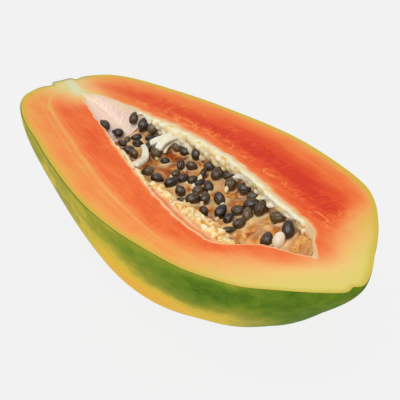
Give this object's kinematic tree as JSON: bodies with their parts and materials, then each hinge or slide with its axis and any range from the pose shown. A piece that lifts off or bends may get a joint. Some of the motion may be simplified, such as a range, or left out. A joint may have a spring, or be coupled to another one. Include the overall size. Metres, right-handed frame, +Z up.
{
  "type": "papaya half",
  "caption": "Half of a ripe papaya, cut lengthwise and lying on its skin, with glossy dark seeds and pulp in the open seed cavity.",
  "frame": {"origin": "centre of the underside of the fruit's box, at the height of the surface that it lies on", "axes": "+X from the stem end to the blossom end, +Z up out of the flat cut face, +Y to the left seen along +X"},
  "size_m": [0.2538, 0.1248, 0.069],
  "materials": {
    "flesh": "moist cut fruit, orange-red by the cavity and yellow towards the green and yellow peel",
    "skin": "thin waxy peel, green on the lobes and yellow along the grooves",
    "pulp": "wet creamy white to peach pulp that holds the seeds",
    "seeds": "wet grey-black seeds with a thin clear coat, each one a little wrinkled"
  },
  "bodies": {
    "root": {"papaya_half": "flesh", "seed_bed": "seeds"}
  },
  "joints": []
}
